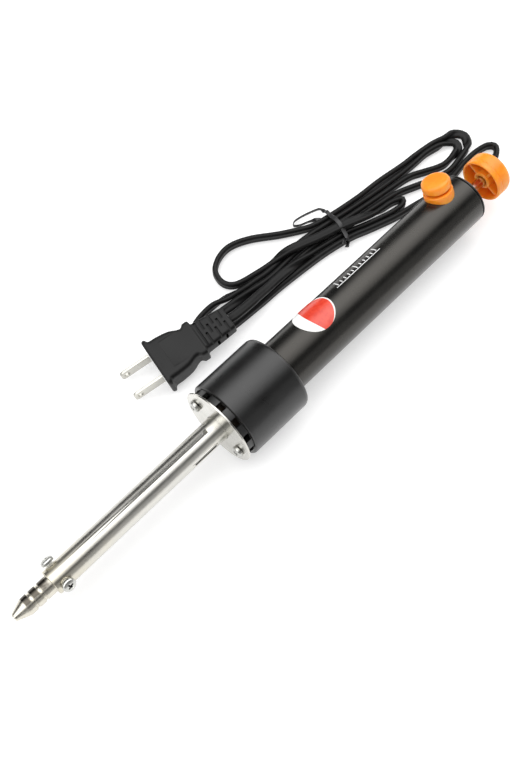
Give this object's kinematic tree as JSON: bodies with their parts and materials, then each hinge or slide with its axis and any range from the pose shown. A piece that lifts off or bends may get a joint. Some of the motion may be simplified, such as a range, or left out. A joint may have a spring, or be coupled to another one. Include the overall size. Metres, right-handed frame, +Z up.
{
  "type": "heated desoldering pump",
  "caption": "Mains-heated desoldering pump with a hollow nozzle, guard collar, sprung plunger, release button and a tied flat lead.",
  "frame": {"origin": "on the surface the tool lies on, under the middle of the tool's length, without its lead", "axes": "+X along the tool's axis towards the plunger knob, +Y towards the tied lead, +Z up"},
  "size_m": [0.3358, 0.0905, 0.0418],
  "materials": {
    "bright_nickel": "polished, slightly warm nickel plate",
    "zinc_plate": "bright zinc-plated screws",
    "plain_steel": "plain drawn steel",
    "brass": "machined brass",
    "black_plastic": "satin black moulded plastic",
    "orange_plastic": "bright orange moulded plastic",
    "white_plastic": "natural white moulded plastic",
    "rubber": "black rubber",
    "black_pvc": "soft black PVC",
    "ceramic": "unglazed ceramic and glass-fibre sleeving",
    "mica": "rolled mica sheet",
    "label": "gloss laminated red and white sticker"
  },
  "bodies": {
    "handle": {"nozzle_tip": "bright_nickel", "barrel_tube": "bright_nickel", "clamp_screw_1": "zinc_plate", "clamp_screw_2": "zinc_plate", "clamp_screw_3": "zinc_plate", "suction_tube": "plain_steel", "heater_core": "ceramic", "heater_coil": "plain_steel", "mica_sleeve": "mica", "flange_plate": "bright_nickel", "flange_screw_1": "zinc_plate", "flange_screw_2": "zinc_plate", "insulator_ring": "mica", "heat_collar": "black_plastic", "pump_tube": "black_plastic", "label_sticker": "label", "pump_head": "white_plastic", "head_gasket": "rubber", "pump_cylinder": "white_plastic", "rod_guide": "white_plastic", "guide_bush": "brass", "rear_cap": "black_plastic", "plunger_spring": "plain_steel", "button_base": "orange_plastic", "button_spring": "plain_steel", "heater_lead_1": "ceramic", "heater_lead_2": "ceramic", "splice_1": "white_plastic", "splice_2": "white_plastic", "cord_tail": "black_pvc", "strain_relief": "rubber", "cord_exit_run": "black_pvc", "cord_side_loop": "black_pvc", "cord_plug_run": "black_pvc", "cord_hank": "black_pvc", "cord_tie": "black_pvc", "plug_body": "black_pvc", "plug_blade_1": "bright_nickel", "plug_blade_2": "bright_nickel"},
    "seal": {"piston_o_ring": "rubber"},
    "plunger": {"piston": "white_plastic", "plunger_rod": "bright_nickel", "spring_stop": "plain_steel", "knob": "orange_plastic"},
    "button": {"button_cap": "orange_plastic", "latch_plate": "plain_steel"}
  },
  "joints": [
    {"name": "plunger_slide", "type": "slide", "parent": "handle", "child": "seal", "axis": [1, 0, 0], "range_m": [0, 0.04], "deforming": ["plunger_spring"]},
    {"name": "plunger_spin", "type": "hinge", "parent": "seal", "child": "plunger", "pos_m": [0.0048, 0, 0.01975], "axis": [1, 0, 0], "continuous": true},
    {"name": "button_press", "type": "slide", "parent": "handle", "child": "button", "axis": [0, -0.454, -0.891], "range_m": [0, 0.0012], "stiffness_N_per_m": 600, "springref_m": -0.001, "deforming": ["button_spring"]}
  ]
}
